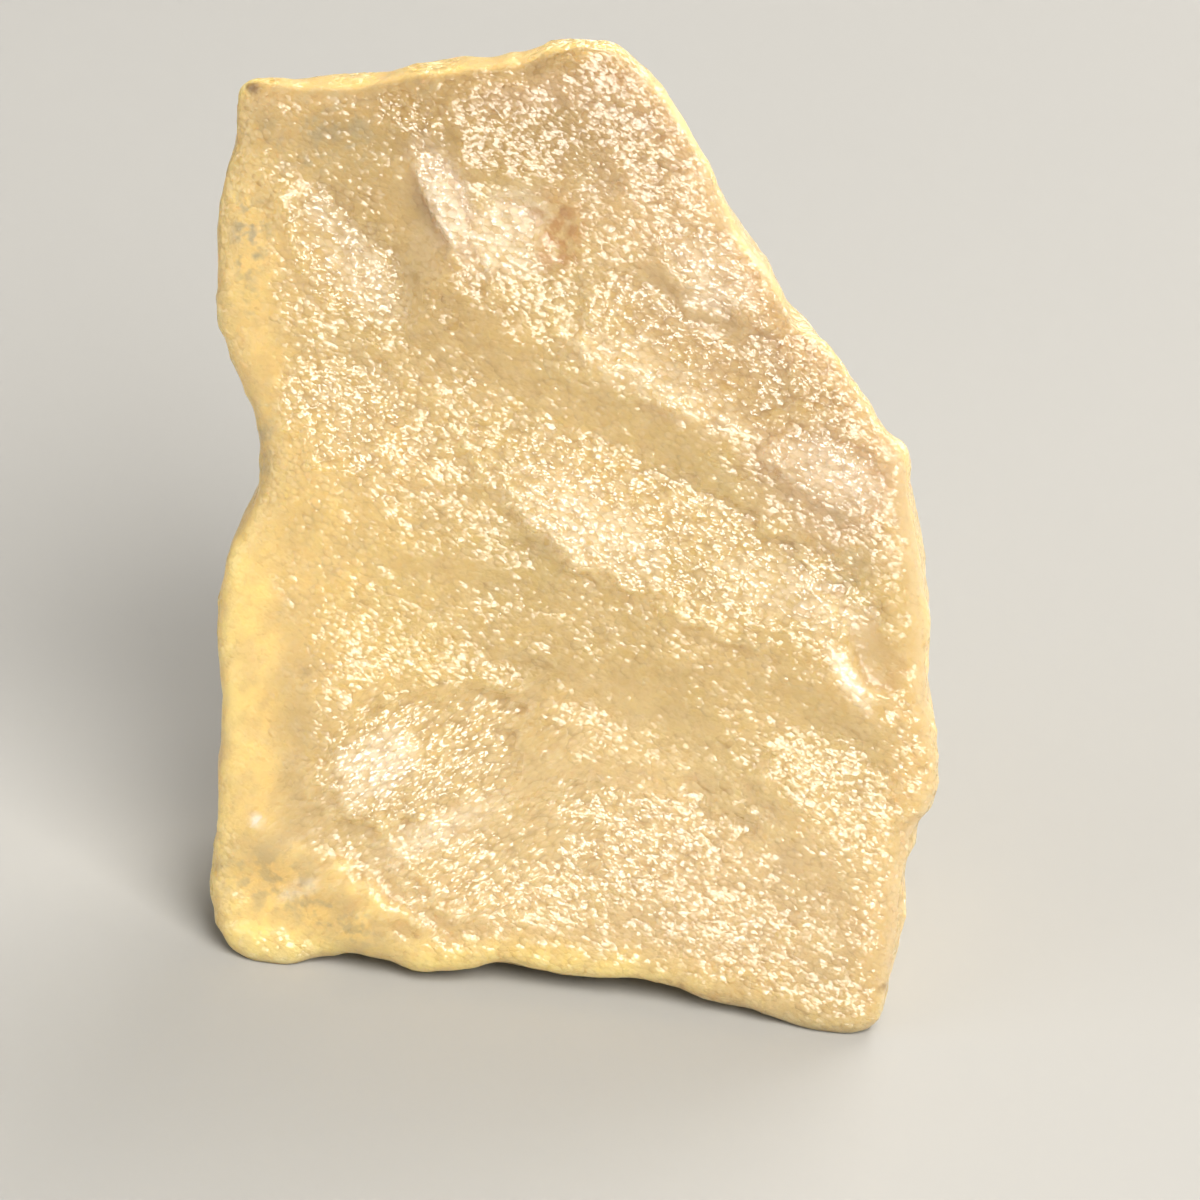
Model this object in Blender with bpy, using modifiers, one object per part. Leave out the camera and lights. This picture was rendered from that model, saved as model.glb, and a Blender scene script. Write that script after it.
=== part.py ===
"""A loose piece of desert glass: a worn, wedge-shaped stone that stands on its thick lower edge.

The front faces -Y and leans back, +X is to its right and +Z is up. The stone is shaped over a point under its lower
edge and then moved, so that the origin is on the ground under the middle of its box. Sizes are in millimetres, and
the meshes in metres.
"""
import math
from collections import namedtuple

import bmesh
import bpy
import numpy as np
from mathutils import Matrix, Vector, noise

Crest = namedtuple("Crest", "points height upper_slope lower_slope")
Bowl = namedtuple("Bowl", "x z half_length half_width slope_deg depth")
Rim = namedtuple("Rim", "distance outward sides to_back")

MM = 0.001
NODE_NAME = "desert_glass"

# Driving sizes
LEAN_DEG = 20.0             # the front leans back from the vertical
FOOT_FRONT_Y = -9.0         # where the front meets the ground
BOX_MIDDLE_X = -1.85        # middle of the finished stone's box, which becomes the origin
BOX_MIDDLE_Y = 2.1
BLOCK_DEPTH = 20.0          # depth of the block that the stone is shaped from
BLOCK_VOXEL = 0.8
WORN_VOXEL = 0.6
WORN_ROUNDS = 5             # rounds of smoothing that wear the edges
TRIANGLES = 9200

# Outline seen from the front, x and z, clockwise from the top left corner. Its lowest stretches, at
# x -15 and x 15, are the two feet, and the edge between them is a shallow arch.
OUTLINE = (
    (-22.3, 44.1), (-22.0, 44.7), (-21.1, 45.0), (-19.0, 45.0), (-16.3, 45.2), (-14.2, 45.6), (-12.4, 46.3),
    (-10.5, 46.6), (-8.4, 46.8), (-6.9, 47.5), (-5.7, 48.1), (-3.9, 48.7), (-3.3, 49.1), (-2.5, 48.9),
    (-1.3, 48.2), (-0.3, 47.5), (1.0, 46.1), (2.6, 44.2), (3.4, 43.3), (4.2, 41.7), (4.8, 40.6),
    (6.1, 39.2), (7.4, 38.0), (8.1, 37.0), (8.8, 36.1), (9.6, 35.6), (10.9, 34.6), (12.3, 33.1),
    (13.7, 31.5), (15.0, 30.4), (15.6, 29.3), (15.9, 27.8), (16.4, 25.7), (17.0, 23.6), (17.5, 21.4),
    (17.7, 19.3), (18.1, 17.3), (18.8, 15.8), (19.2, 13.7), (19.1, 12.3), (18.4, 10.8), (17.9, 9.2),
    (17.9, 6.6), (18.0, 4.7), (17.6, 2.9), (17.9, 1.9), (17.4, 0.5), (15.5, -0.2), (13.6, -0.1),
    (11.7, 0.3), (9.7, 0.7), (7.5, 0.7), (6.3, 1.3), (4.1, 1.5), (1.5, 1.2), (-1.4, 1.2), (-3.6, 1.6),
    (-5.7, 0.8), (-8.2, 0.5), (-9.9, 1.1), (-12.1, 0.8), (-14.0, 0.2), (-15.3, -0.2), (-17.2, -0.1),
    (-18.7, 0.4), (-19.6, 1.8), (-19.9, 4.5), (-20.0, 7.7), (-20.2, 11.1), (-20.2, 13.0), (-20.7, 15.5),
    (-20.7, 17.5), (-20.8, 20.2), (-19.8, 22.2), (-19.2, 23.7), (-19.2, 26.0), (-19.6, 27.5),
    (-20.4, 28.8), (-21.2, 30.5), (-22.2, 32.1), (-22.6, 33.6), (-22.6, 35.9), (-22.9, 38.3),
    (-22.7, 39.8), (-22.2, 41.2), (-22.1, 42.7),
)
OUTLINE_STEPS = 3           # samples from one outline point to the next
WEAR_ALLOWANCE = 0.25       # added all round, because wearing the edges takes it off again
EVENED_RUN = 9              # samples on each side that even the outline out towards the back
CORNER_REACH = 1.2          # how far apart two near stretches of outline still blend

# The back seen from the side: height above the ground and y
BACK_PROFILE = ((0.0, 11.0), (6.0, 11.8), (14.0, 12.2), (24.0, 12.3), (34.0, 12.5), (42.0, 12.7), (49.5, 12.7))
BACK_SIDE_FALL = 2.2        # the back comes this far forward at the left and right of its thick part
BACK_FALL_DEPTH = 18.0      # depth of the stone where it comes that far

# How steeply the sides draw in towards the back at the left, right, top and bottom, and at the upper right
SIDE_DRAW_DEG = (11.0, 12.0, 12.0, 1.0)
UPPER_RIGHT_DRAW_DEG = 16.0
DRAW_REACH = 6.0            # how far in from the outline that is felt

# Width and fall of the rounded rims at the left, right, top and bottom
FRONT_RIM_WIDTH = (5.0, 2.0, 1.3, 1.6)
FRONT_RIM_FALL = (2.0, 1.4, 1.0, 0.9)
BACK_RIM_WIDTH = (7.0, 6.0, 5.0, 2.5)
BACK_RIM_FALL = (4.5, 4.5, 2.0, 1.4)
RIM_DEPTH_SHARE = 0.3       # a rim takes no more than this share of the stone's depth

# Crests across the front, which run down to the right, with the widths of their two slopes
CRESTS = (
    Crest(((-9.0, 37.4), (-4.5, 35.2), (-1.2, 32.8), (2.1, 31.3), (6.5, 30.8), (9.8, 30.4)), 0.9, 1.6, 2.6),
    Crest(((-12.5, 26.5), (-7.4, 24.4), (2.1, 21.3), (8.5, 20.0), (14.3, 19.1)), 0.8, 3.2, 2.0),
    Crest(((-15.5, 15.5), (-14.6, 9.0), (-13.0, 4.5), (-9.0, 2.3)), 0.6, 3.4, 1.6),
    Crest(((-1.0, 42.5), (2.0, 38.8), (6.0, 36.6)), 0.4, 1.2, 1.4),
    Crest(((-10.8, 41.8), (-9.3, 38.5)), 0.5, 0.9, 1.2),
)

# Scallops in the front, from the top down
FRONT_BOWLS = (
    Bowl(-6.0, 45.2, 2.4, 1.3, -10.0, 0.3),
    Bowl(0.0, 45.0, 2.6, 1.8, -40.0, 0.35),
    Bowl(-18.5, 41.5, 2.6, 2.0, 0.0, 0.35),
    Bowl(-7.0, 39.6, 2.0, 1.8, 0.0, 0.3),
    Bowl(-11.9, 39.3, 1.5, 2.9, 0.0, 0.5),
    Bowl(3.4, 38.3, 3.2, 1.7, -45.0, 0.4),
    Bowl(-15.2, 36.8, 4.0, 2.6, -50.0, 0.5),
    Bowl(6.2, 34.3, 7.2, 3.0, -28.0, 0.8),
    Bowl(-14.8, 29.6, 4.2, 2.6, -20.0, 0.45),
    Bowl(0.5, 29.3, 9.5, 2.2, -14.0, 0.5),
    Bowl(11.8, 28.6, 2.6, 1.6, -25.0, 0.45),
    Bowl(10.5, 24.2, 3.6, 1.6, -20.0, 0.3),
    Bowl(15.3, 20.0, 2.2, 1.5, -60.0, 0.55),
    Bowl(-16.5, 18.5, 2.4, 3.4, 0.0, 0.3),
    Bowl(0.0, 16.0, 8.5, 2.6, -16.0, 0.5),
    Bowl(14.6, 13.5, 2.4, 3.2, 20.0, 0.35),
    Bowl(-7.5, 9.5, 6.5, 3.6, 25.0, 0.45),
    Bowl(8.0, 9.0, 6.0, 3.4, -25.0, 0.4),
    Bowl(-15.0, 2.8, 3.4, 2.2, -20.0, 0.7),
)

# Scallops in the back, placed as seen from the front
BACK_BOWLS = (
    Bowl(0.0, 41.0, 5.0, 3.2, -35.0, 0.5),
    Bowl(-8.0, 34.0, 8.0, 5.0, 30.0, 1.0),
    Bowl(-16.0, 27.0, 3.6, 5.0, 0.0, 0.7),
    Bowl(5.0, 26.0, 8.5, 5.5, -20.0, 1.2),
    Bowl(-10.0, 19.0, 6.5, 5.0, 10.0, 1.0),
    Bowl(8.0, 12.0, 7.0, 4.5, 25.0, 1.0),
    Bowl(-6.0, 7.5, 6.0, 3.4, -10.0, 0.8),
)
BOWL_LIP = 1.3              # a bowl fades out at this share of its half length

# Worn ripples, which run down to the right: wavelength, height, and how many times longer than wide
RIPPLES = ((7.0, 0.35, 2.2), (3.0, 0.16, 2.0))
RIPPLE_SLOPE_DEG = -28.0

# Round worn hollows that meet in low cusps
HOLLOW_SPACING = 4.6
HOLLOW_DEPTH = 0.4
HOLLOW_RADIUS_SHARE = 0.7
CALM_RIM = 3.0              # ripples and hollows fade in over this distance from the outline

# Lumps of the sides, the back and the underside, size and height. They fade in behind the front rim, between
# two depths, and above the ground.
LUMPS = ((9.0, 0.9), (4.0, 0.35))
LUMPS_START = 1.5
LUMPS_FULL = 5.0
LUMPS_ABOVE_GROUND = 3.0

# The block below the ground that cuts the feet flat
GROUND_WIDTH = 80.0
GROUND_DEPTH = 60.0
GROUND_HEIGHT = 10.0

GLASS_COLOUR = (0.80, 0.58, 0.27, 1.0)
GLASS_ROUGHNESS = 0.35
GLASS_IOR = 1.46
GLASS_TRANSMISSION = 0.4


def remove_scene_objects():
    for obj in list(bpy.data.objects):
        bpy.data.objects.remove(obj, do_unlink=True)


def collection(name):
    group = bpy.data.collections.new(name)
    bpy.context.scene.collection.children.link(group)
    return group


def glass_material():
    material = bpy.data.materials.new("desert_glass")
    material.use_nodes = True
    shader = material.node_tree.nodes["Principled BSDF"]
    shader.inputs["Base Color"].default_value = GLASS_COLOUR
    shader.inputs["Roughness"].default_value = GLASS_ROUGHNESS
    shader.inputs["Metallic"].default_value = 0.0
    shader.inputs["IOR"].default_value = GLASS_IOR
    shader.inputs["Transmission Weight"].default_value = GLASS_TRANSMISSION
    return material


def evaluated_mesh(obj):
    """The mesh that an object's modifiers make, in world space."""
    graph = bpy.context.evaluated_depsgraph_get()
    mesh = bpy.data.meshes.new_from_object(obj.evaluated_get(graph), depsgraph=graph)
    mesh.transform(obj.matrix_world)
    return mesh


def apply_modifiers(obj):
    mesh = evaluated_mesh(obj)
    obj.modifiers.clear()
    obj.data = mesh


def remesh(obj, size):
    voxels = obj.modifiers.new("voxels", "REMESH")
    voxels.mode = "VOXEL"
    voxels.voxel_size = size * MM
    apply_modifiers(obj)


def smooth_outline():
    """The outline as a closed, evenly bending line (Catmull-Rom), with the wear allowance added."""
    here = np.array(OUTLINE)
    before = np.roll(here, 1, axis=0)
    after = np.roll(here, -1, axis=0)
    later = np.roll(here, -2, axis=0)
    samples = []
    for t in np.arange(OUTLINE_STEPS) / OUTLINE_STEPS:
        straight = 2 * here + (after - before) * t
        bend = (2 * before - 5 * here + 4 * after - later) * t ** 2
        twist = (3 * here - before - 3 * after + later) * t ** 3
        samples.append(0.5 * (straight + bend + twist))
    line = np.stack(samples, axis=1).reshape(-1, 2)
    run = np.roll(line, -1, axis=0) - np.roll(line, 1, axis=0)
    outward = np.stack((-run[:, 1], run[:, 0]), axis=1) / np.hypot(run[:, 0], run[:, 1])[:, None]
    return line + WEAR_ALLOWANCE * outward


def evened(outline):
    """The outline without its small bumps."""
    run = range(-EVENED_RUN, EVENED_RUN + 1)
    return sum(np.roll(outline, shift, axis=0) for shift in run) / len(run)


def block(outline, group):
    """A block with the stone's outline, standing on its lower edge."""
    curve = bpy.data.curves.new("block_outline", "CURVE")
    curve.dimensions = "2D"
    curve.fill_mode = "BOTH"
    curve.extrude = BLOCK_DEPTH / 2 * MM
    spline = curve.splines.new("POLY")
    spline.points.add(len(outline) - 1)
    for point, (x, z) in zip(spline.points, outline):
        point.co = (x * MM, z * MM, 0.0, 1.0)
    spline.use_cyclic_u = True
    flat = bpy.data.objects.new("block_outline", curve)
    flat.rotation_euler = (math.pi / 2, 0.0, 0.0)
    group.objects.link(flat)
    bpy.context.view_layer.update()
    mesh = evaluated_mesh(flat)
    bpy.data.objects.remove(flat, do_unlink=True)

    shape = bmesh.new()
    shape.from_mesh(mesh)
    bmesh.ops.remove_doubles(shape, verts=shape.verts, dist=0.01 * MM)
    bmesh.ops.recalc_face_normals(shape, faces=shape.faces)
    shape.to_mesh(mesh)
    shape.free()
    solid = bpy.data.objects.new(NODE_NAME, mesh)
    group.objects.link(solid)
    remesh(solid, BLOCK_VOXEL)
    return solid


def rim_around(x, z, outline):
    """For each point, its place relative to the outline.

    distance is how far in it is, outward the way to the outside, sides the shares of left, right, top and bottom
    in that way, and to_back how the outline moves there when it is evened out.
    """
    step = np.roll(outline, -1, axis=0) - outline
    length = np.hypot(step[:, 0], step[:, 1])
    from_x = x[:, None] - outline[:, 0]
    from_z = z[:, None] - outline[:, 1]
    along = np.clip((from_x * step[:, 0] + from_z * step[:, 1]) / length ** 2, 0.0, 1.0)
    away = np.hypot(from_x - along * step[:, 0], from_z - along * step[:, 1])
    distance = away.min(axis=1)
    pull = np.exp(-((away - distance[:, None]) / CORNER_REACH) ** 2)
    outward = pull @ (np.stack((-step[:, 1], step[:, 0]), axis=1) / length[:, None])
    outward /= np.maximum(np.hypot(outward[:, 0], outward[:, 1]), 1e-6)[:, None]
    left, right = np.maximum(-outward[:, 0], 0.0) ** 2, np.maximum(outward[:, 0], 0.0) ** 2
    top, bottom = np.maximum(outward[:, 1], 0.0) ** 2, np.maximum(-outward[:, 1], 0.0) ** 2
    to_back = pull @ (evened(outline) - outline) / pull.sum(axis=1)[:, None]
    return Rim(distance, outward.T, np.stack((left, right, top, bottom)), to_back.T)


def by_side(values, rim):
    """One value at each point, blended from the values for the left, right, top and bottom."""
    return np.tensordot(np.array(values), rim.sides, axes=1)


def rim_fall(rim, widths, falls, depth):
    """How far the rounded rim has fallen away at each point."""
    inward = np.clip(rim.distance / by_side(widths, rim), 0.0, 1.0)
    fall = by_side(falls, rim) * (1.0 - np.sqrt(1.0 - (1.0 - inward) ** 2))
    return np.minimum(fall, RIM_DEPTH_SHARE * depth)


def crest_height(x, z, crest):
    """A rounded crest along a line, with its own slope on each side."""
    nearest = np.full(x.shape, np.inf)
    side = np.zeros(x.shape)
    for (ax, az), (bx, bz) in zip(crest.points, crest.points[1:]):
        dx, dz = bx - ax, bz - az
        along = np.clip(((x - ax) * dx + (z - az) * dz) / (dx * dx + dz * dz), 0.0, 1.0)
        off_x, off_z = x - ax - along * dx, z - az - along * dz
        away = np.hypot(off_x, off_z)
        side = np.where(away < nearest, dx * off_z - dz * off_x, side)
        nearest = np.minimum(away, nearest)
    width = np.where(side > 0, crest.upper_slope, crest.lower_slope)
    return crest.height / (1.0 + (nearest / width) ** 2)


def bowl_depth(x, z, bowl):
    """A shallow bowl with a soft lip."""
    turn = math.radians(bowl.slope_deg)
    off_x, off_z = x - bowl.x, z - bowl.z
    along = (off_x * math.cos(turn) + off_z * math.sin(turn)) / bowl.half_length
    across = (off_z * math.cos(turn) - off_x * math.sin(turn)) / bowl.half_width
    inside = np.clip(1.0 - (along ** 2 + across ** 2) / BOWL_LIP ** 2, 0.0, 1.0)
    return bowl.depth * inside ** 1.5


def ripple_height(x, y, z):
    """Worn ripples that run down to the right."""
    turn = math.radians(RIPPLE_SLOPE_DEG)
    along = x * math.cos(turn) + z * math.sin(turn)
    across = z * math.cos(turn) - x * math.sin(turn)
    total = np.zeros(x.shape)
    for wavelength, height, stretch in RIPPLES:
        places = np.stack((along / stretch, y, across), axis=1) / wavelength + wavelength
        total += height * np.array([noise.noise(Vector(place)) for place in places])
    return total


def hollow_depth(x, y, z):
    """Round hollows that meet in low cusps."""
    places = np.stack((x, y, z), axis=1) / HOLLOW_SPACING
    nearest = np.array([noise.voronoi(Vector(place))[0][0] for place in places])
    return HOLLOW_DEPTH * np.clip(1.0 - (nearest / HOLLOW_RADIUS_SHARE) ** 2, 0.0, 1.0)


def front_surface(x, z):
    """Where the front is, in y, before its rim is rounded."""
    front = FOOT_FRONT_Y + z * math.tan(math.radians(LEAN_DEG))
    front -= sum(crest_height(x, z, crest) for crest in CRESTS)
    front += sum(bowl_depth(x, z, bowl) for bowl in FRONT_BOWLS)
    return front


def back_surface(x, z, front):
    """Where the back is, in y, before its rim is rounded."""
    heights, places = np.array(BACK_PROFILE).T
    back = np.interp(z, heights, places)
    from_middle = (x - x.mean()) / (x.max() - x.min()) * 2
    back -= BACK_SIDE_FALL * from_middle ** 2 * np.clip((back - front) / BACK_FALL_DEPTH, 0.0, 1.0)
    back -= sum(bowl_depth(x, z, bowl) for bowl in BACK_BOWLS)
    return back


def shape(solid, outline):
    """Moves the block's points to the front, the back and the sides of the stone."""
    mesh = solid.data
    flat = np.empty(len(mesh.vertices) * 3, dtype=np.float32)
    mesh.vertices.foreach_get("co", flat)
    x, y, z = (flat.reshape(-1, 3) / MM).astype(float).T
    depth_share = np.clip(y / BLOCK_DEPTH + 0.5, 0.0, 1.0)
    rim = rim_around(x, z, outline)
    texture = ripple_height(x, y, z) - hollow_depth(x, y, z)

    front = front_surface(x, z)
    front -= texture * np.clip(rim.distance / CALM_RIM, 0.0, 1.0)
    back = back_surface(x, z, front)
    back += texture
    depth = back - front
    front += rim_fall(rim, FRONT_RIM_WIDTH, FRONT_RIM_FALL, depth)
    back -= rim_fall(rim, BACK_RIM_WIDTH, BACK_RIM_FALL, depth)

    left, right, top, bottom = rim.sides
    nearness = np.exp(-rim.distance / DRAW_REACH)
    draw_deg = by_side(SIDE_DRAW_DEG, rim) + UPPER_RIGHT_DRAW_DEG * 4.0 * right * top
    new_y = front + (back - front) * depth_share
    draw = (new_y - front) * np.tan(np.radians(draw_deg)) * nearness
    evening = nearness * depth_share
    new_x = x + evening * rim.to_back[0] - draw * rim.outward[0]
    new_z = z + evening * (1.0 - bottom) * rim.to_back[1] - draw * rim.outward[1]
    flat = (np.stack((new_x, new_y, new_z), axis=1) * MM).astype(np.float32)
    mesh.vertices.foreach_set("co", flat.reshape(-1))
    mesh.update()


def add_lumps(solid):
    """Raises and sinks the sides, the back and the underside in soft lumps."""
    mesh = solid.data
    lean = math.tan(math.radians(LEAN_DEG))
    for point in mesh.vertices:
        place = point.co / MM
        behind = place.y - FOOT_FRONT_Y - place.z * lean
        share = min(max((behind - LUMPS_START) / (LUMPS_FULL - LUMPS_START), 0.0), 1.0)
        share *= min(max(place.z / LUMPS_ABOVE_GROUND, 0.0), 1.0)
        swell = sum(height * noise.noise(place / size) for size, height in LUMPS)
        point.co = point.co + point.normal * (share * swell * MM)
    mesh.update()


def wear_edges(solid):
    worn = solid.modifiers.new("worn_edges", "SMOOTH")
    worn.factor = 0.5
    worn.iterations = WORN_ROUNDS
    apply_modifiers(solid)


def thin_out(solid):
    """Brings the mesh down to the wanted number of triangles."""
    triangles = sum(len(face.vertices) - 2 for face in solid.data.polygons)
    facets = solid.modifiers.new("facets", "DECIMATE")
    facets.ratio = TRIANGLES / triangles
    apply_modifiers(solid)


def centre(solid):
    """Brings the middle of the stone's box over the origin."""
    solid.data.transform(Matrix.Translation((-BOX_MIDDLE_X * MM, -BOX_MIDDLE_Y * MM, 0.0)))


def ground_cutter(group):
    """A block below the ground."""
    bpy.ops.mesh.primitive_cube_add(size=1.0, location=(0.0, 0.0, -GROUND_HEIGHT / 2 * MM))
    cutter = bpy.context.active_object
    cutter.name = "ground"
    cutter.scale = (GROUND_WIDTH * MM, GROUND_DEPTH * MM, GROUND_HEIGHT * MM)
    for owner in list(cutter.users_collection):
        owner.objects.unlink(cutter)
    group.objects.link(cutter)
    cutter.hide_render = True
    cutter.display_type = "WIRE"
    return cutter


def flatten_feet(solid, cutter):
    """Cuts off what is below the ground, so the stone stands on two flat spots."""
    cut = solid.modifiers.new("flat_feet", "BOOLEAN")
    cut.operation = "DIFFERENCE"
    cut.solver = "EXACT"
    cut.object = cutter


def main():
    remove_scene_objects()
    stone_group = collection("desert_glass_piece")
    cutter_group = collection("cutters")
    outline = smooth_outline()
    solid = block(outline, stone_group)
    shape(solid, outline)
    remesh(solid, WORN_VOXEL)
    add_lumps(solid)
    wear_edges(solid)
    thin_out(solid)
    centre(solid)
    flatten_feet(solid, ground_cutter(cutter_group))
    solid.data.materials.append(glass_material())


main()
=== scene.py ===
"""The looks of one piece of pale yellow desert glass.

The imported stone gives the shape. Here its skin is worn as wind and sand wear it, in facets, hollows,
ledges, ripples and grain, and it gets the milky, honey-coloured glass. Places on the front are in
millimetres: x to the right, z up from the feet. Slopes are in degrees.
"""

import math

import bpy
import numpy as np
from mathutils import Euler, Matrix, Quaternion, Vector, noise


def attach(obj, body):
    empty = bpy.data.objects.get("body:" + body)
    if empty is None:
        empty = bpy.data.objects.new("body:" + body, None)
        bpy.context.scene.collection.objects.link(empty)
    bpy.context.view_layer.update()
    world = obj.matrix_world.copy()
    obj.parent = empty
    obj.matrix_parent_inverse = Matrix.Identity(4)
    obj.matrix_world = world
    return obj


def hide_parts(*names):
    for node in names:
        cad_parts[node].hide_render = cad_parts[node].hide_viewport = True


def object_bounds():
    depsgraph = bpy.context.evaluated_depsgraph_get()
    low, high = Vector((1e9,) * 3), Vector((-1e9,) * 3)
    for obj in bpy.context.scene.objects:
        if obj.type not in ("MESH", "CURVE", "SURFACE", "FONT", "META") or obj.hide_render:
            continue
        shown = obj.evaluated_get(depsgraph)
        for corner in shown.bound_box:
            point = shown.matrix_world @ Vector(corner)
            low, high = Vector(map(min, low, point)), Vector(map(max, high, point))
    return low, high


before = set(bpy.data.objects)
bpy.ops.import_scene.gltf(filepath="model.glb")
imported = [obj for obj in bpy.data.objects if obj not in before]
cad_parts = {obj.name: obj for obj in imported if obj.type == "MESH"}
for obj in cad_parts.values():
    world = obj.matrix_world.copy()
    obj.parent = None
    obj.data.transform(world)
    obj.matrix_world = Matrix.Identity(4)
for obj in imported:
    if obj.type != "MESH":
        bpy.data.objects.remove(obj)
packed_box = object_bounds()

MM = 0.001                   # a millimetre, in metres
WELD = 0.001 * MM            # points nearer to each other than this are one
SKIN_FACE = 0.26             # width of one face of the worn skin
SMOOTHING_ROUNDS = 8
FOOT_FADE = 0.6              # height above the ground over which wear comes in

# Glinting facets of the front: x, z, half length, half width, slope, how rough, and how far tipped up
# and to the right.
GLINTING = [
    ("upper left band", -13.3, 36.6, 4.9, 2.2, -44, 1.0, 1.0),
    ("bright streak", -8.5, 40.7, 2.8, 1.0, -55, 1.2, 2.4),
    ("top left glints", -11.2, 44.8, 1.8, 0.9, -30, 1.0, 0.8),
    ("top", -5.1, 46.3, 5.1, 1.5, 17, 0.55, 0.3),
    ("top middle", -2.7, 43.8, 6.4, 2.3, -3, 0.6, 0.5),
    ("top right", 2.3, 44.6, 4.4, 2.6, -44, 0.6, 0.4),
    ("right patch", 5.7, 38.3, 2.9, 2.0, -32, 1.1, 1.2),
    ("scallop", 5.3, 34.2, 6.2, 2.7, -25, 1.0, 1.2),
    ("right shoulder", 10.9, 34.6, 4.2, 2.2, -40, 1.0, 0.5),
    ("right glow", 13.5, 29.1, 3.2, 1.8, -18, 1.2, 1.8),
    ("middle", 3.6, 25.4, 10.1, 3.2, -19, 1.0, 0.8),
    ("right middle", 12.5, 22.8, 4.8, 2.3, -18, 1.0, 0.6),
    ("left middle", -12.6, 29.0, 4.6, 2.8, -13, 0.9, 0.4),
    ("inner left", -5.9, 28.0, 4.6, 1.9, -1, 0.7, 0.5),
    ("lower left", -7.0, 11.8, 5.7, 3.2, 18, 1.2, 0.7),
    ("lower middle", 1.1, 8.0, 10.3, 3.6, 14, 0.85, 0.3),
    ("lower right", 15.2, 13.3, 4.0, 2.6, -13, 0.7, 0.4),
    ("low right", 10.1, 4.9, 5.9, 2.6, -13, 0.6, 0.3),
    ("white patch", -5.2, 39.2, 1.9, 1.6, 6, 1.1, 1.9),
    ("small middle", -2.1, 16.6, 2.4, 0.9, 2, 0.8, 0.8),
    ("below the streak", -8.2, 35.2, 1.8, 0.8, -45, 0.8, 0.4),
    ("below the scallop", 8.6, 29.0, 2.6, 0.7, -15, 0.8, 0.4),
]

# Calm, glassy places of the front: the same, with how calm, and how far tipped down and to the left.
CALM = [
    ("left margin", -16.0, 12.9, 11.2, 2.5, -84, 1.3, 0.0),
    ("left shoulder", -18.3, 32.8, 5.6, 1.3, -79, 1.0, 0.0),
    ("olive", -5.9, 33.9, 4.0, 1.5, -30, 0.5, 0.6),
    ("diagonal", 3.6, 29.9, 5.0, 1.0, -6, 0.45, 0.6),
    ("hollow", -10.2, 39.1, 3.1, 1.3, -76, 1.0, 1.4),
    ("stain", -2.5, 39.8, 1.9, 1.3, -73, 1.0, 1.4),
    ("upper band", 5.1, 36.5, 4.1, 0.8, -34, 0.9, 1.2),
    ("clear corner", -15.3, 42.7, 3.2, 2.1, 6, 0.3, 0.3),
    ("top rim", -14.8, 45.4, 4.8, 0.6, 10, 1.0, 0.0),
    ("right rim", 17.9, 24.9, 7.7, 1.0, -79, 1.0, 0.0),
    ("chip", 17.0, 20.0, 2.2, 0.9, -52, 1.5, 6.0),
    ("corner bevel", -12.0, 3.6, 5.0, 2.6, -13, 1.0, 3.0),
    ("middle patch", -6.4, 22.1, 3.2, 0.7, -1, 0.8, 0.8),
    ("low valley", 3.5, 16.1, 6.5, 1.3, -8, 0.8, 0.8),
    ("right valley", 13.1, 17.2, 4.8, 1.1, -5, 0.6, 0.6),
    ("low middle", 5.4, 13.0, 3.8, 1.4, 2, 0.6, 0.4),
]

# Small hollows knocked out of the front: x, z, half length, half width, slope, depth.
PITS = [
    ("chip", 17.0, 20.0, 2.3, 1.0, -52, 0.35),
    ("pit by the stain", -2.4, 39.6, 1.3, 0.8, -60, 0.2),
    ("nook under the streak", -6.6, 37.4, 1.6, 0.5, -60, 0.25),
]

# Crisp steps in the front, higher on their upper side: x, z, half length, slope, height.
LEDGES = [
    ("beside the streak", -8.9, 39.4, 4.5, -57, 0.35),
    ("scallop's lip", -1.2, 33.7, 3.0, -48, 0.3),
    ("under the scallop", 4.7, 31.2, 4.0, -5, 0.3),
    ("right glow's lip", 12.8, 30.2, 3.4, -37, 0.25),
    ("middle's lip", -0.3, 23.0, 4.6, -21, 0.3),
    ("right middle's lip", 8.2, 20.2, 4.4, -15, 0.3),
    ("corner bevel's edge", -6.8, 5.5, 5.5, -42, 0.4),
    ("upper left edge", -17.4, 38.0, 3.3, -62, 0.25),
]

# Nicks in the outline: x, z, radius, depth. A nib has a depth below 0.
NICKS = [
    ("upper right nick", 10.8, 35.6, 0.7, 0.4),
    ("right nib", 17.3, 29.9, 0.9, -0.2),
    ("low right nick", 19.9, 11.0, 0.9, 0.3),
    ("top nick", -5.0, 47.6, 0.8, 0.2),
    ("left nick", -19.6, 27.0, 0.8, 0.25),
]

# Places of another colour on the front, among them painted glow, painted shade, painted light and painted
# glints: x, z, half length, half width, slope, how strong.
# Painted glow: the thin left and bottom edges lighter and yellower, as if lit through.
GLOWING = [
    ("left edge", -18.2, 14.0, 13.5, 3.2, -88, 1.0),
    ("bottom corner", -14.5, 3.0, 6.0, 3.0, -5, 1.0),
    ("bottom edge", -0.5, 1.6, 11.0, 1.5, 2, 0.9),
    ("upper left edge", -18.8, 34.0, 8.0, 2.0, -80, 0.6),
    ("notch side", -14.5, 23.0, 6.5, 3.5, -60, 0.5),
    ("left body", -11.0, 20.0, 7.5, 4.5, -55, 0.3),
]
# Painted shade: the top, the upper left and the right shoulder darker.
PAINTED_SHADE_SPOTS = [
    ("top", -3.0, 45.6, 16.0, 3.6, 3, 0.8),
    ("upper left", -10.0, 38.5, 7.0, 4.5, -40, 0.45),
    ("right shoulder", 12.0, 33.0, 9.0, 4.5, -45, 0.35),
]
# Painted light: the low front lighter, as if lit through the thin bottom.
LIT_UP = [
    ("low middle", 3.0, 7.5, 17.0, 6.5, 4, 0.6),
    ("low right", 12.5, 6.5, 7.0, 4.0, -10, 0.5),
]
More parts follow.
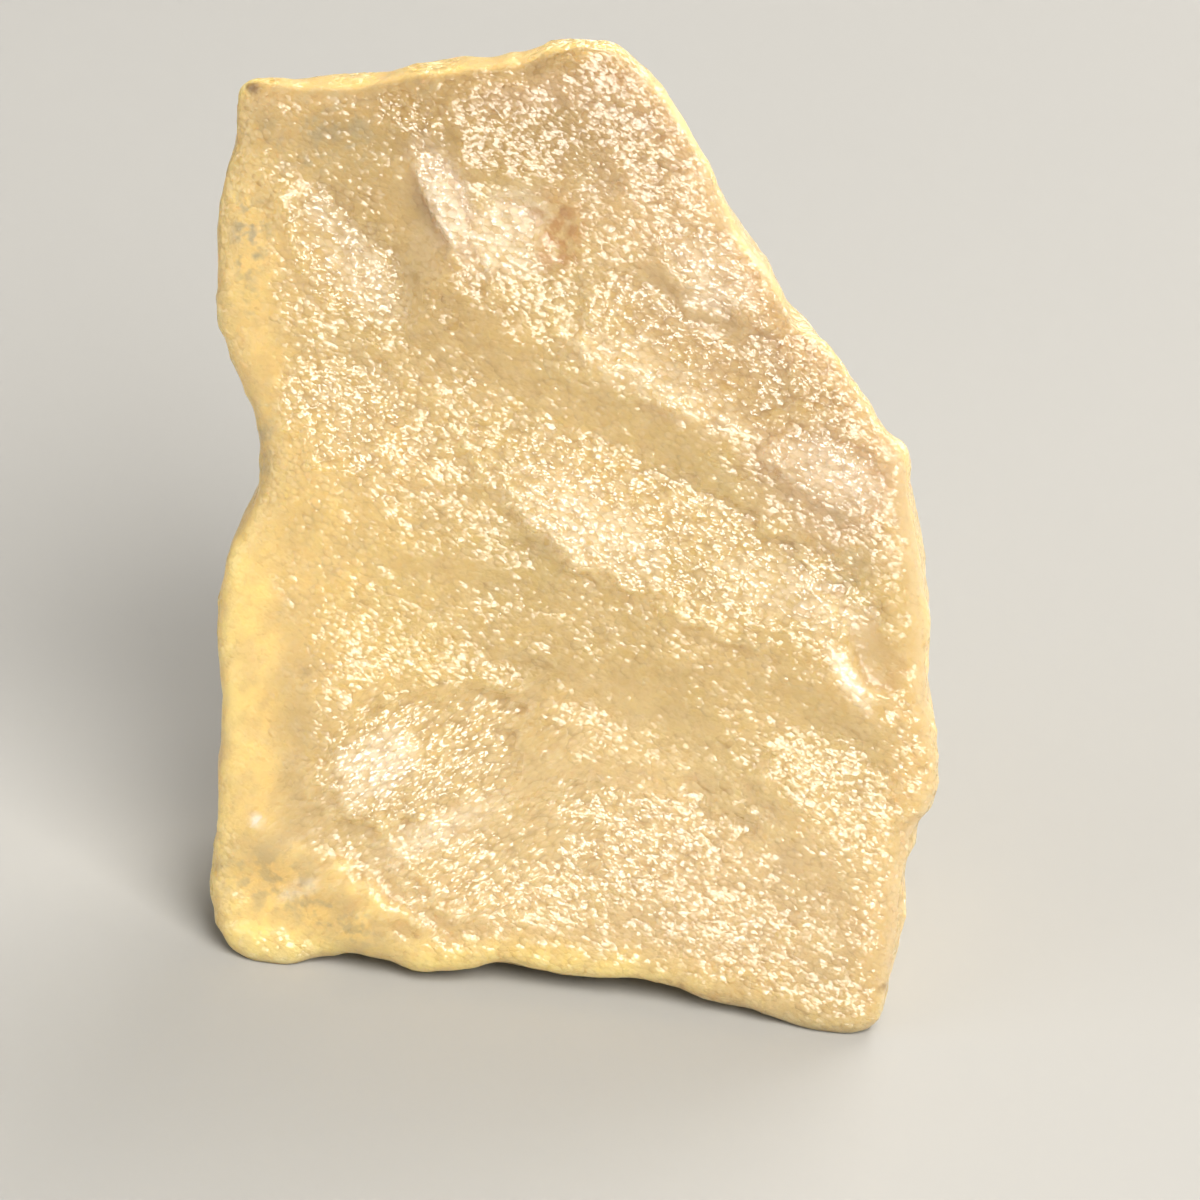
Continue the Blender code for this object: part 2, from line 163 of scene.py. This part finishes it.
# A rosier, darker honey: partly the glass's own tint, and in the upper right and the glinting places a
# painted pink of glints in cool light.
ROSY = [
    ("upper right", 7.4, 39.6, 11.0, 6.6, -38, 0.7),
    ("right glow", 13.4, 28.5, 4.5, 3.2, -23, 1.0),
    ("chip", 17.1, 20.1, 2.2, 1.0, -52, 0.3),
    ("bright streak", -8.5, 40.7, 2.8, 1.4, -55, 1.0),
    ("top edge", -2.0, 46.6, 5.0, 1.0, 12, 0.8),
    ("low right", 11.0, 6.0, 8.0, 4.0, -13, 0.4),
]
# Painted glints: whitish places where the skin glints, a painted highlight over the real glints.
PAINTED_GLINT_SPOTS = [
    ("white patch", -5.0, 39.3, 2.1, 1.8, 6, 0.65),
    ("bright streak", -8.3, 40.6, 2.6, 0.9, -58, 0.7),
    ("upper left band", -13.0, 36.6, 3.6, 1.2, -46, 0.35),
    ("right patch", 5.9, 38.2, 2.2, 1.4, -32, 0.4),
    ("right glow", 13.6, 28.9, 2.6, 1.3, -18, 0.5),
    ("scallop's lip", 4.2, 32.6, 4.5, 1.1, -22, 0.3),
    ("middle", 0.6, 25.2, 4.2, 1.6, -19, 0.35),
    ("right middle", 12.5, 22.6, 4.0, 1.2, -18, 0.35),
    ("lower left", -9.4, 11.2, 2.0, 1.4, 38, 0.7),
    ("lower left trail", -5.5, 8.2, 3.4, 0.8, 30, 0.4),
    ("white spot", -15.6, 7.6, 0.35, 0.3, 0, 1.0),
    ("chip's rim", 15.8, 18.8, 2.3, 0.4, -52, 0.7),
    ("corner glint", -13.0, 4.4, 1.2, 0.5, 35, 0.6),
]
STAINED = [
    ("stain", -2.3, 39.4, 1.9, 1.2, -70, 0.9),
    ("stain's heart", -2.3, 39.0, 0.9, 0.7, 0, 1.0),
    ("stain's shadow", -2.6, 41.0, 1.4, 0.9, 60, 0.3),
    ("bottom lip", 9.5, 1.2, 1.6, 0.6, -10, 0.5),
]
GREYED = [
    ("clear corner", -15.3, 43.0, 3.2, 2.0, 7, 0.7),
    ("left rim", -18.9, 37.5, 2.0, 1.0, -85, 0.9),
    ("rim below", -18.6, 34.5, 1.5, 0.7, -80, 0.5),
    ("notch lip", -17.1, 27.2, 2.4, 0.5, -88, 0.5),
    ("corner shade", -15.0, 4.8, 3.0, 1.8, 10, 0.45),
    ("low corner shade", -11.5, 3.4, 3.2, 1.1, -8, 0.5),
    ("top shade", -10.9, 46.0, 1.1, 0.4, -3, 0.6),
    ("right shade", 14.8, 25.6, 2.0, 1.2, -70, 0.35),
]
SPECKS = [
    ("corner speck", -19.6, 44.7, 0.45, 0.35, 0, 1.0),
    ("left speck", -13.6, 15.9, 0.3, 0.2, 7, 0.35),
    ("middle speck", -6.3, 16.0, 0.25, 0.2, 7, 0.5),
    ("right speck", 17.1, 26.9, 0.3, 0.25, 7, 0.3),
    ("foot speck", 19.3, 2.7, 0.35, 0.2, 7, 0.7),
]
STREAKED = [
    ("lower left", -6.0, 9.5, 9.5, 6.0, 22, 1.0),
]

# How far the skin turns before it counts as the front or a side, and over how much more it blends in.
FRONT_TURN, FRONT_BLEND = 0.15, 0.35
SIDE_TURN, SIDE_BLEND = 0.35, 0.4

# Softness of the rims of these places, as a share of their size.
FACET_RIM = 0.20
PIT_RIM = 0.30
GLINTING_RIM = 0.35
CALM_RIM = 0.40
COLOUR_RIM = 0.60
RAGGED = 0.30                # how far noise pushes those rims
RAGGED_BLOT = 1.8            # width of that noise's blots

FACET_TIP = 0.12             # slope of a tipped facet
CALM_SHARE = 0.25            # how far a calm place tips, as a share of a glinting one
NICK_SPREAD = 1.5            # where a nick ends, in radii
LEDGE_FACE = 0.45            # width of a ledge's steep face
LEDGE_TAIL = 1.8             # how far above it a ledge dies away
LEDGE_WAVER = 0.6            # how far noise pushes a ledge up or down the front

# The skin all over: how high its swells are, and how wide.
SCALLOP_HEIGHT, SCALLOP_MIDDLE = 0.20, 0.45
SWELL_HEIGHT, SWELL = 0.22, 4.0
RIPPLE_HEIGHT, RIPPLE = 0.08, 1.5
GRAIN_HEIGHT, GRAIN = 0.06, 0.8
STREAK_GRAIN = 0.4           # how far the grain frays the streaked place

# How rough the skin is, from 0 to 1.
FRONT_ROUGH = 0.48
BACK_ROUGH = 0.55
BACK_PATCHES, BACK_PATCH = 0.6, 6.0
GLINTING_ROUGH = 0.85
CALMING = 0.55

# Painted glow and painted light on the stone's other sides: how strongly the painted glow shows on the left
# side and on the back, and how strongly the painted light shows on the back.
LEFT_GLOW = 0.7
BACK_GLOW = 0.6
BACK_LIT = 0.4

HONEY = (0.64, 0.46, 0.20)
OLIVE = (0.57, 0.42, 0.175)
CREAM = (0.72, 0.585, 0.38)
# The colour of the painted glints.
GLINT_WHITE = (0.96, 0.85, 0.68)
# The colour of the painted glow.
AMBER_LIGHT = (0.92, 0.68, 0.26)
# Partly the glass's own rose tint, partly a painted pink of glints in cool light.
ROSE_HONEY = (0.54, 0.385, 0.235)
# The colour of the painted shade.
SHADED_HONEY = (0.43, 0.295, 0.125)
# The colour of the painted light.
LIT_HONEY = (0.74, 0.57, 0.31)
GREY_HONEY = (0.43, 0.355, 0.21)
RUST = (0.47, 0.26, 0.095)
DARK_SPECK = (0.16, 0.09, 0.04)
GROOVE_SHADE = (0.65, 0.58, 0.48)

# The finest dimples, which are in the finish: how wide, how far each one tips, how far it bulges.
LARGE_DIMPLES = (0.31, 0.34, 0.25)
SMALL_DIMPLES = (0.15, 0.42, 0.10)
LEAN = 0.36                  # how far the rough skin's dimples all lean, as a slope
LEANING_UP = (0.36, 0.0, 0.93)
LEANING_RIGHT = (0.99, 0.0, 0.12)     # in the streaked place
# The dark rims of the dimples are painted shade in the grooves between them.
GROOVE_START = 0.42          # how far out in a dimple its dark rim begins, in its widths
GROOVE_DEPTH = 0.5           # how dark that rim is
GROOVES_LOST = 0.85          # how much of it fades behind the stone

# The camera, as the photograph was taken: degrees, and millimetres.
VIEW_AZIMUTH = 6
VIEW_ELEVATION = 30
VIEW_ROLL = 3.7
VIEW_MIDDLE = (1.85, -3.24, 21.1)
VIEW_DISTANCE = 350
VIEW_WIDTH = 64.5
SENSOR_WIDTH = 36

FLOOR_RADIUS = 6             # in metres
FLOOR_DROP = 0.01 * MM
STONE_MIDDLE = 22 * MM       # the height that the lamps look at


def ease(share):
    """A smooth step from 0 to 1."""
    share = np.clip(share, 0, 1)
    return share * share * (3 - 2 * share)


def hold(piece):
    """Takes one piece in hand and puts everything else down."""
    bpy.ops.object.select_all(action="DESELECT")
    piece.select_set(True)
    bpy.context.view_layer.objects.active = piece


def finish_with(piece, kind, label, **settings):
    """Adds a modifier, sets it and applies it."""
    hold(piece)
    modifier = piece.modifiers.new(label, kind)
    for key, value in settings.items():
        setattr(modifier, key, value)
    bpy.ops.object.modifier_apply(modifier=modifier.name)


def even_skin():
    """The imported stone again, as one closed skin of small, even faces."""
    stone = bpy.data.objects.new("desert_glass_stone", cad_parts["desert_glass"].data.copy())
    bpy.context.scene.collection.objects.link(stone)
    hold(stone)
    bpy.ops.object.mode_set(mode="EDIT")
    bpy.ops.mesh.select_all(action="SELECT")
    bpy.ops.mesh.remove_doubles(threshold=WELD)
    bpy.ops.object.mode_set(mode="OBJECT")
    finish_with(stone, "REMESH", "even skin", mode="VOXEL", voxel_size=SKIN_FACE * MM)
    finish_with(stone, "SMOOTH", "facets rubbed down", factor=0.5, iterations=SMOOTHING_ROUNDS)
    return stone


def places_of(stone):
    """Every point of the skin, in millimetres."""
    flat = np.empty(len(stone.data.vertices) * 3, np.float32)
    stone.data.vertices.foreach_get("co", flat)
    return flat.reshape(-1, 3).astype(float) / MM


def facing_of(stone):
    """The way that every point of the skin faces."""
    flat = np.empty(len(stone.data.vertices) * 3, np.float32)
    stone.data.vertex_normals.foreach_get("vector", flat)
    return flat.reshape(-1, 3).astype(float)


def put_places(stone, places):
    """Moves the skin's points to these places."""
    stone.data.vertices.foreach_set("co", (places * MM).astype(np.float32).ravel())
    stone.data.update()


def cloudy(places, size, octaves=3, offset=0.0):
    """Soft noise, about -1 to 1, whose blots are about this many millimetres wide."""
    shift = Vector((offset, offset * 0.7, offset * 1.3))
    return np.array([noise.fractal(Vector(p) / size + shift, 0.8, 2.0, octaves) for p in places])


def scalloped(places):
    """Cells a few millimetres wide, drawn out across the front: how far each point is from a middle."""
    return np.array([noise.voronoi(Vector((p[0] * 0.35 + p[2] * 0.2, p[1] * 0.5,
                                           p[2] * 0.5 - p[0] * 0.2)))[0][0] for p in places])


def laid_out(skin, x, z, slope):
    """How far each point is from a place of the front, along that place's slope and across it."""
    turn = math.radians(slope)
    right = skin["places"][:, 0] - x
    up = skin["places"][:, 2] - z
    return right * math.cos(turn) + up * math.sin(turn), up * math.cos(turn) - right * math.sin(turn)


def oval(skin, x, z, long, short, slope, rim):
    """1 inside an oval of the front and 0 outside it, with a soft and ragged rim."""
    along, across = laid_out(skin, x, z, slope)
    out = np.hypot(along / long, across / short) + RAGGED * skin["ragged"]
    return ease((1 + rim - out) / (2 * rim)) * skin["front"]


def look_over(stone):
    """The skin's places and facing, with what the wear goes by."""
    places = places_of(stone)
    facing = facing_of(stone)
    return {"places": places,
            "facing": facing,
            "front": ease((-facing[:, 1] - FRONT_TURN) / FRONT_BLEND),
            "left": ease((-facing[:, 0] - SIDE_TURN) / SIDE_BLEND),
            "right": ease((facing[:, 0] - SIDE_TURN) / SIDE_BLEND),
            "ragged": cloudy(places, RAGGED_BLOT),
            "grounded": ease(places[:, 2] / FOOT_FADE)}


def tip_facets(skin):
    """Heights that tip the glinting facets up and to the right, and the calm ones the other way."""
    heights = np.zeros(len(skin["places"]))
    uphill = (skin["places"][:, 0] + skin["places"][:, 2]) / math.sqrt(2)
    for facets, way in ((GLINTING, -1), (CALM, CALM_SHARE)):
        for _, x, z, long, short, slope, _, tip in facets:
            middle = (x + z) / math.sqrt(2)
            inside = oval(skin, x, z, long, short, slope, FACET_RIM)
            heights += way * FACET_TIP * tip * (uphill - middle) * inside
    return heights


def knocked_out(skin):
    """Heights of the small hollows in the front and of the nicks in the outline."""
    heights = np.zeros(len(skin["places"]))
    for _, x, z, long, short, slope, depth in PITS:
        heights -= depth * oval(skin, x, z, long, short, slope, PIT_RIM)
    for _, x, z, radius, depth in NICKS:
        out = np.hypot(skin["places"][:, 0] - x, skin["places"][:, 2] - z) / radius
        heights -= depth * ease(NICK_SPREAD - out)
    return heights


def stepped(skin):
    """Heights of the ledges: each rises at once and dies away slowly above it."""
    heights = np.zeros(len(skin["places"]))
    for _, x, z, long, slope, height in LEDGES:
        along, above = laid_out(skin, x, z, slope)
        above = above + LEDGE_WAVER * skin["ragged"]
        rise = ease(above / LEDGE_FACE) * np.exp(-np.maximum(above, 0) / LEDGE_TAIL)
        heights += height * rise * ease((1 - np.abs(along / long)) * 2) * skin["front"]
    return heights


def roughness_map(skin):
    """How rough the skin is: patches all round, with the front's own facets over them."""
    rough = BACK_ROUGH + BACK_PATCHES * cloudy(skin["places"], BACK_PATCH, offset=5.0)
    rough = rough * (1 - skin["front"]) + FRONT_ROUGH * skin["front"]
    for _, x, z, long, short, slope, weight, _ in GLINTING:
        inside = oval(skin, x, z, long, short, slope, GLINTING_RIM)
        rough = np.maximum(rough, weight * GLINTING_ROUGH * inside)
    for _, x, z, long, short, slope, weight, _ in CALM:
        inside = oval(skin, x, z, long, short, slope, CALM_RIM)
        rough = rough * (1 - CALMING * weight * inside)
    return np.clip(rough, 0, 1)


def painted(skin, spots):
    """How strongly one colour shows at each point, from its spots on the front."""
    strength = np.zeros(len(skin["places"]))
    for _, x, z, long, short, slope, weight in spots:
        strength = np.maximum(strength, weight * oval(skin, x, z, long, short, slope, COLOUR_RIM))
    return strength


def keep_values(stone, label, values):
    """Stores one value for each point of the skin, for the finish."""
    attribute = stone.data.attributes.new(label, "FLOAT", "POINT")
    attribute.data.foreach_set("value", values.astype(np.float32))


def wear(stone):
    """Wears the even skin into facets, ledges, hollows, scallops, ripples and grain."""
    skin = look_over(stone)
    places = skin["places"]
    behind = 1 - skin["front"]
    rough = roughness_map(skin)
    grain = cloudy(places, GRAIN, 2, offset=3.0)
    heights = tip_facets(skin) + knocked_out(skin) + stepped(skin)
    heights += SCALLOP_HEIGHT * (scalloped(places) - SCALLOP_MIDDLE)
    heights += SWELL_HEIGHT * cloudy(places, SWELL, offset=7.0) * behind
    heights += RIPPLE_HEIGHT * cloudy(places, RIPPLE, offset=9.0) * (0.3 + 0.7 * rough)
    heights += GRAIN_HEIGHT * grain * rough
    heights *= skin["grounded"]
    worn = (places + skin["facing"] * heights[:, None]) * MM
    put_places(stone, np.clip(worn, *[np.array(corner) for corner in packed_box]) / MM)

    # Painted glow on the left side and on the back, as if lit through the thin glass.
    side_glow = np.maximum(LEFT_GLOW * skin["left"], BACK_GLOW * behind)
    keep_values(stone, "rough", rough)
    keep_values(stone, "glow", np.maximum(painted(skin, GLOWING), side_glow))
    # Painted light on the low front and on the back.
    keep_values(stone, "lit", np.maximum(painted(skin, LIT_UP), BACK_LIT * behind))
    keep_values(stone, "streaked", painted(skin, STREAKED) + STREAK_GRAIN * grain)
    # Painted rim light: the faces turned to the right are painted paler.
    keep_values(stone, "side", skin["right"])
    keep_values(stone, "behind", behind)
    # These include the painted shade of the top and right and the painted glints of the brightest places.
    for label, spots in (("painted_shade", PAINTED_SHADE_SPOTS), ("rosy", ROSY), ("pale", PAINTED_GLINT_SPOTS), ("stain", STAINED),
                         ("grey", GREYED), ("speck", SPECKS)):
        keep_values(stone, label, painted(skin, spots))


class Tap:
    """A value, a vector or a colour from one socket of a finish, with arithmetic."""

    def __init__(self, finish, socket):
        self.finish = finish
        self.socket = socket

    def sum(self, operation, *values):
        """One step of arithmetic."""
        return self.finish.add("ShaderNodeMath", {"operation": operation}, dict(enumerate(values)))

    def __add__(self, other):
        return self.sum("ADD", self, other)

    __radd__ = __add__

    def __mul__(self, other):
        return self.sum("MULTIPLY", self, other)

    __rmul__ = __mul__

    def __sub__(self, other):
        return self.sum("SUBTRACT", self, other)

    def __rsub__(self, other):
        return self.sum("SUBTRACT", other, self)

    def clear(self):
        """The value, kept from 0 to 1."""
        return self.finish.add("ShaderNodeClamp", {}, {"Value": self})

    def beside(self, label):
        """Another output of the same node."""
        return Tap(self.finish, self.socket.node.outputs[label])


class Finish:
    """One material, built up node by node."""

    def __init__(self, label):
        self.material = bpy.data.materials.new(label)
        self.material.use_nodes = True
        self.tree = self.material.node_tree
        self.tree.nodes.clear()

    def add(self, kind, settings, sockets, out=0):
        """Adds a node: its settings first, then each socket's value or link. Gives one of its outputs."""
        node = self.tree.nodes.new(kind)
        for key, value in settings.items():
            setattr(node, key, value)
        for key, value in sockets.items():
            if isinstance(value, Tap):
                self.tree.links.new(value.socket, node.inputs[key])
            else:
                node.inputs[key].default_value = value
        return Tap(self, node.outputs[out])

    def kept(self, label):
        """A value that was stored on the skin."""
        return self.add("ShaderNodeAttribute", {"attribute_name": label}, {}, "Fac")

    def vectors(self, operation, first, second, out="Vector"):
        """One step of arithmetic on two vectors."""
        return self.add("ShaderNodeVectorMath", {"operation": operation}, {0: first, 1: second}, out)

    def scaled(self, vector, size):
        """A vector, made this many times as long."""
        return self.add("ShaderNodeVectorMath", {"operation": "SCALE"}, {0: vector, "Scale": size})

    def either(self, share, first, second):
        """A mix of two vectors."""
        return self.add("ShaderNodeMix", {"data_type": "VECTOR"}, {0: share, 4: first, 5: second}, 1)

    def blend(self, share, first, second, way="MIX"):
        """A mix of two colours."""
        colours = [c if isinstance(c, Tap) else (*c, 1) for c in (first, second)]
        return self.add("ShaderNodeMix", {"data_type": "RGBA", "blend_type": way},
                        {0: share, 6: colours[0], 7: colours[1]}, 2)

    def close(self, shader):
        """Ends the material with its shader."""
        output = self.tree.nodes.new("ShaderNodeOutputMaterial")
        self.tree.links.new(shader.socket, output.inputs["Surface"])
        return self.material


def honey_glass():
    """Milky, honey-coloured natural glass with a hammered, glinting skin."""
    glass = Finish("honey_desert_glass")
    place = glass.add("ShaderNodeTexCoord", {}, {}, "Object")
    mm = glass.scaled(place, 1 / MM)
    rough = glass.kept("rough")

    def laid(slope, stretch):
        """Millimetres, drawn out along a slope of the front."""
        return glass.add("ShaderNodeMapping", {"vector_type": "TEXTURE"}, {
            "Vector": mm, "Rotation": Euler((0, -math.radians(slope), 0)), "Scale": (stretch, 1, 1)})

    def clouds(size, where, detail):
        """Soft noise from 0 to 1, whose blots are about this many millimetres wide."""
        return glass.add("ShaderNodeTexNoise", {}, {
            "Vector": where, "Scale": 1 / size, "Detail": detail, "Roughness": 0.55})

    streaked = glass.add("ShaderNodeMath", {"operation": "GREATER_THAN"}, {0: glass.kept("streaked"), 1: 0.5})
    along = glass.either(streaked, laid(-24, 1.55), laid(38, 2.0))
    leaning = glass.scaled(glass.either(streaked, LEANING_UP, LEANING_RIGHT), rough * LEAN)

    def dimples(size, steep, bulge):
        """Small cells that each tip their own way: their height, their luck and how far out in one."""
        cell = glass.add("ShaderNodeTexVoronoi", {}, {"Vector": along, "Scale": 1 / size}, "Position")
        luck = cell.beside("Color")
        offset = glass.vectors("SUBTRACT", along, cell)
        own_way = glass.scaled(glass.vectors("SUBTRACT", luck, (0.5, 0.5, 0.5)), 2 * steep)
        tilt = glass.vectors("SUBTRACT", own_way, leaning)
        tilt = glass.vectors("SUBTRACT", tilt, glass.scaled(offset, bulge / size))
        height = glass.vectors("DOT_PRODUCT", offset, tilt, "Value")
        return height, luck, cell.beside("Distance")

    large, large_luck, apart = dimples(*LARGE_DIMPLES)
    small, _, _ = dimples(*SMALL_DIMPLES)
    lot = glass.add("ShaderNodeSeparateColor", {}, {"Color": large_luck}, "Red")
    hammered = (rough * 1.5 + lot - 0.7).clear()
    height = large * hammered + small * (0.2 + 0.8 * rough)
    normal = glass.add("ShaderNodeBump", {}, {"Strength": 1.0, "Distance": MM, "Height": height})
    # Painted shade in the grooves between the dimples, weaker behind the stone.
    painted_groove_shade = ((apart - GROOVE_START) * 3).clear() * hammered * (1 - GROOVES_LOST * glass.kept("behind"))

    cloud = clouds(5.0, laid(-24, 1.6), 1.0)
    mottle = clouds(0.7, mm, 2.0)
    folds = clouds(1.0, laid(15, 2.2), 2.0)
    veil = (clouds(1.3, laid(60, 1.5), 1.0) * 6 - 2.4).clear()
    colour = glass.blend(((cloud - 0.3) * 2.5).clear(), HONEY, OLIVE)
    colour = glass.blend(((mottle - 0.45) * 1.6).clear() * 0.6, colour, CREAM)
    colour = glass.blend(rough * lot * 0.5, colour, CREAM)
    # Painted shade on the top, the upper left and the right shoulder.
    colour = glass.blend(glass.kept("painted_shade"), colour, SHADED_HONEY)
    # Painted light on the low front and on the back.
    colour = glass.blend(glass.kept("lit"), colour, LIT_HONEY)
    # Painted glow on the thin edges, the left side and the back.
    colour = glass.blend(glass.kept("glow") * (0.65 + 0.35 * veil), colour, AMBER_LIGHT)
    # Rosier honey, partly a painted pink of glints in cool light.
    colour = glass.blend(glass.kept("rosy") * 0.7, colour, ROSE_HONEY)
    # Painted rim light on the faces turned to the right.
    colour = glass.blend(glass.kept("side") * 0.45, colour, CREAM)
    # Painted glints: whitish cells in the brightest places.
    colour = glass.blend(glass.kept("pale") * (0.35 + lot).clear(), colour, GLINT_WHITE)
    colour = glass.blend(glass.kept("grey") * ((folds + mottle) * 5 - 4.7).clear(), colour, GREY_HONEY)
    colour = glass.blend(glass.kept("stain") * (mottle * 5 - 1.8).clear(), colour, RUST)
    colour = glass.blend(glass.kept("speck") * 0.8, colour, DARK_SPECK)
    # Painted shade in the grooves between the dimples.
    colour = glass.blend(painted_groove_shade * GROOVE_DEPTH, colour, GROOVE_SHADE, "MULTIPLY")
    return glass.close(glass.add("ShaderNodeBsdfPrincipled", {"subsurface_method": "RANDOM_WALK"}, {
        "Base Color": colour,
        "Roughness": 0.40 - 0.26 * rough,
        "IOR": 1.5,
        "Specular IOR Level": 1.0,
        "Normal": normal,
        "Subsurface Weight": 0.9,
        "Subsurface Radius": (1.0, 0.85, 0.60),
        "Subsurface Scale": 3.0 * MM,
    }))


def pale_floor():
    """A wide, plain, pale floor."""
    bpy.ops.object.select_all(action="DESELECT")
    bpy.ops.mesh.primitive_circle_add(vertices=96, radius=FLOOR_RADIUS, fill_type="NGON",
                                      location=(0, 0, -FLOOR_DROP))
    floor = bpy.context.object
    floor.name = "floor"
    paper = Finish("pale_paper")
    place = paper.add("ShaderNodeTexCoord", {}, {}, "Object")
    tone = paper.add("ShaderNodeTexNoise", {}, {"Vector": place, "Scale": 3.0, "Detail": 2.0})
    colour = paper.blend(tone, (0.42, 0.42, 0.41), (0.45, 0.45, 0.44))
    floor.data.materials.append(paper.close(paper.add("ShaderNodeBsdfPrincipled", {}, {
        "Base Color": colour, "Roughness": 0.8, "Specular IOR Level": 0.1})))


def direction(azimuth, elevation):
    """The way from the stone to a lamp or the camera. Azimuth 0 is in front, and 90 is on the right."""
    a, e = math.radians(azimuth), math.radians(elevation)
    return Vector((math.sin(a) * math.cos(e), -math.cos(a) * math.cos(e), math.sin(e)))


def softbox(label, azimuth, elevation, distance, width, watts, colour):
    """A square lamp that looks at the stone: distance and width in metres."""
    lamp = bpy.data.lights.new(label, "AREA")
    lamp.shape = "SQUARE"
    lamp.size = width
    lamp.energy = watts
    lamp.color = colour
    holder = bpy.data.objects.new(label, lamp)
    away = direction(azimuth, elevation)
    holder.location = Vector((0, 0, STONE_MIDDLE)) + away * distance
    holder.rotation_euler = away.to_track_quat("Z", "Y").to_euler()
    bpy.context.scene.collection.objects.link(holder)


def studio():
    """Plain, pale surroundings, one bright softbox on the right and softer ones round the stone."""
    world = bpy.data.worlds.new("studio")
    bpy.context.scene.world = world
    world.use_nodes = True
    sky = world.node_tree.nodes["Background"]
    sky.inputs["Color"].default_value = (0.90, 0.94, 1.0, 1)
    sky.inputs["Strength"].default_value = 0.13
    softbox("key", azimuth=38, elevation=47, distance=0.7, width=0.48, watts=7.5,
            colour=(1.0, 0.95, 0.87))
    softbox("fill", azimuth=-62, elevation=25, distance=0.8, width=0.6, watts=1.9,
            colour=(1.0, 0.96, 0.90))
    softbox("back", azimuth=155, elevation=38, distance=0.7, width=0.45, watts=4.4,
            colour=(1.0, 0.95, 0.88))


def camera():
    """Looks down on the stone from a little to its right, held a little turned."""
    away = direction(VIEW_AZIMUTH, VIEW_ELEVATION)
    roll = Quaternion((0, 0, 1), math.radians(VIEW_ROLL))
    lens = bpy.data.cameras.new("camera")
    lens.sensor_width = SENSOR_WIDTH
    lens.lens = SENSOR_WIDTH * VIEW_DISTANCE / VIEW_WIDTH
    lens.clip_start = 10 * MM
    holder = bpy.data.objects.new("camera", lens)
    holder.location = (Vector(VIEW_MIDDLE) + away * VIEW_DISTANCE) * MM
    holder.rotation_euler = (away.to_track_quat("Z", "Y") @ roll).to_euler()
    bpy.context.scene.collection.objects.link(holder)
    bpy.context.scene.camera = holder


def render_settings():
    """Few bounces, since the glass is milky and lets no ray straight through."""
    bpy.context.scene.view_settings.view_transform = "Standard"
    render = bpy.context.scene.cycles
    render.use_denoising = True
    render.adaptive_threshold = 0.06
    render.adaptive_min_samples = 12
    render.max_bounces = 3
    render.diffuse_bounces = 2
    render.glossy_bounces = 2
    render.transmission_bounces = 2
    render.caustics_reflective = False
    render.caustics_refractive = False


camera()
stone = even_skin()
wear(stone)
hold(stone)
bpy.ops.object.shade_smooth()
stone.data.materials.clear()
stone.data.materials.append(honey_glass())
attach(stone, "root")
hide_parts("desert_glass")
pale_floor()
studio()
render_settings()
